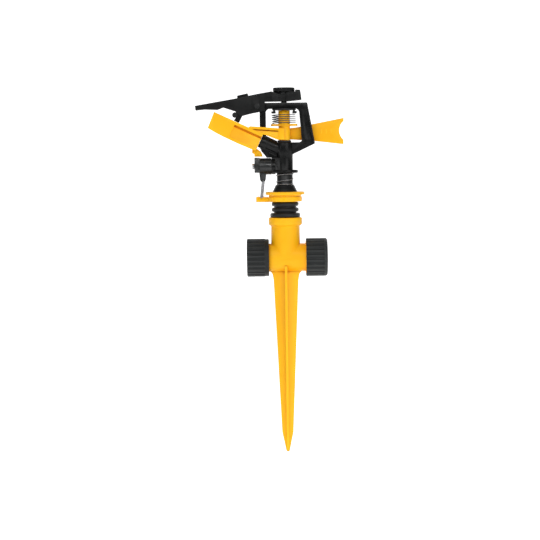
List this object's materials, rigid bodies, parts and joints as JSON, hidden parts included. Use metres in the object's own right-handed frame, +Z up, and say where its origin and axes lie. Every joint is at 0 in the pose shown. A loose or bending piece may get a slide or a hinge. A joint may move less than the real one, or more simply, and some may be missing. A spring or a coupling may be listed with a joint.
{
  "type": "impact sprinkler on a ground spike",
  "caption": "Impact lawn sprinkler on a cross-ribbed ground spike, with a tee inlet, a swinging impact arm, a part-circle trip lever and a jet-breaking flap.",
  "frame": {"origin": "on the riser axis at the soil line, where the spike enters the ground", "axes": "+Z up along the riser, -X the way the jet leaves at rest, -Y the front"},
  "size_m": [0.1215, 0.0376, 0.3007],
  "materials": {
    "spike_plastic": "satin moulded",
    "arm_plastic": "semi-gloss moulded",
    "collar_plastic": "semi-gloss moulded",
    "coupling_plastic": "satin moulded",
    "bearing_plastic": "satin moulded",
    "body_plastic": "semi-gloss moulded",
    "flap_plastic": "satin moulded",
    "seal_rubber": "matte",
    "nylon": "natural nylon",
    "spring_steel": "drawn wire",
    "pin_steel": "turned",
    "washer_plastic": "satin"
  },
  "bodies": {
    "spike": {"spike_stake": "spike_plastic", "tee_body": "spike_plastic", "bearing_nut": "bearing_plastic"},
    "hose_nut": {"inlet_nut": "coupling_plastic", "inlet_washer": "seal_rubber"},
    "cap_seal": {"cap_washer": "seal_rubber"},
    "cap": {"end_cap": "coupling_plastic"},
    "lower_trip_collar": {"lower_collar": "collar_plastic"},
    "upper_trip_collar": {"upper_collar": "collar_plastic"},
    "head": {"bearing_tube": "bearing_plastic", "rubber_thrust_washer": "seal_rubber", "nylon_thrust_washer": "nylon", "dust_cone": "washer_plastic", "seat_spring": "spring_steel", "sprinkler_body": "body_plastic", "nozzle_insert": "washer_plastic", "fulcrum_pin": "pin_steel", "hub_washer": "washer_plastic", "tension_crown": "washer_plastic", "arm_spring": "spring_steel", "trip_pin": "pin_steel", "trip_spring": "spring_steel", "flap_pivot_pin": "washer_plastic"},
    "arm": {"impact_arm": "arm_plastic"},
    "trip": {"trip_lever": "body_plastic", "trip_wire": "spring_steel"},
    "deflector": {"flap": "flap_plastic", "deflector_pin": "washer_plastic"},
    "knob": {"range_knob": "flap_plastic", "adjuster_collar": "washer_plastic"}
  },
  "joints": [
    {"name": "head_turn", "type": "hinge", "parent": "spike", "child": "head", "pos_m": [0, 0, 0.065], "axis": [0, 0, 1], "range_deg": [0, 230]},
    {"name": "arm_swing", "type": "hinge", "parent": "head", "child": "arm", "pos_m": [0, 0, 0.1205], "axis": [0, 0, 1], "range_deg": [0, 100], "stiffness_Nm_per_rad": 0.008, "springref_deg": -89.95},
    {"name": "trip_lever_tilt", "type": "hinge", "parent": "head", "child": "trip", "pos_m": [-0.0155, 0, 0.0963], "axis": [1, 0, 0], "range_deg": [-20, 0], "stiffness_Nm_per_rad": 0.004, "springref_deg": 34.38},
    {"name": "lower_collar_turn", "type": "hinge", "parent": "spike", "child": "lower_trip_collar", "pos_m": [0, 0, 0.0693], "axis": [0, 0, 1], "range_deg": [-300, 0]},
    {"name": "upper_collar_turn", "type": "hinge", "parent": "spike", "child": "upper_trip_collar", "pos_m": [0, 0, 0.0735], "axis": [0, 0, 1], "range_deg": [-150, 60]},
    {"name": "range_knob_turn", "type": "hinge", "parent": "head", "child": "knob", "pos_m": [0, 0, 0.1585], "axis": [0, 0, 1], "range_deg": [-360, 0]},
    {"name": "flap_tilt", "type": "hinge", "parent": "head", "child": "deflector", "pos_m": [-0.0219, 0, 0.1453], "axis": [0, 1, 0], "range_deg": [0, 2.09]},
    {"name": "hose_nut_spin", "type": "hinge", "parent": "spike", "child": "hose_nut", "pos_m": [-0.0229, 0, 0.0213], "axis": [1, 0, 0], "continuous": true},
    {"name": "cap_travel", "type": "slide", "parent": "spike", "child": "cap_seal", "axis": [1, 0, 0], "range_m": [0, 0.00907]},
    {"name": "cap_turn", "type": "hinge", "parent": "cap_seal", "child": "cap", "pos_m": [0.0254, 0, 0.0213], "axis": [1, 0, 0], "range_deg": [0, 1800]}
  ],
  "couplings": [
    {"joint": "range_knob_turn", "follows": "flap_tilt", "ratio": -172},
    {"joint": "cap_travel", "follows": "cap_turn", "m_per_rad": 0.00028871}
  ]
}
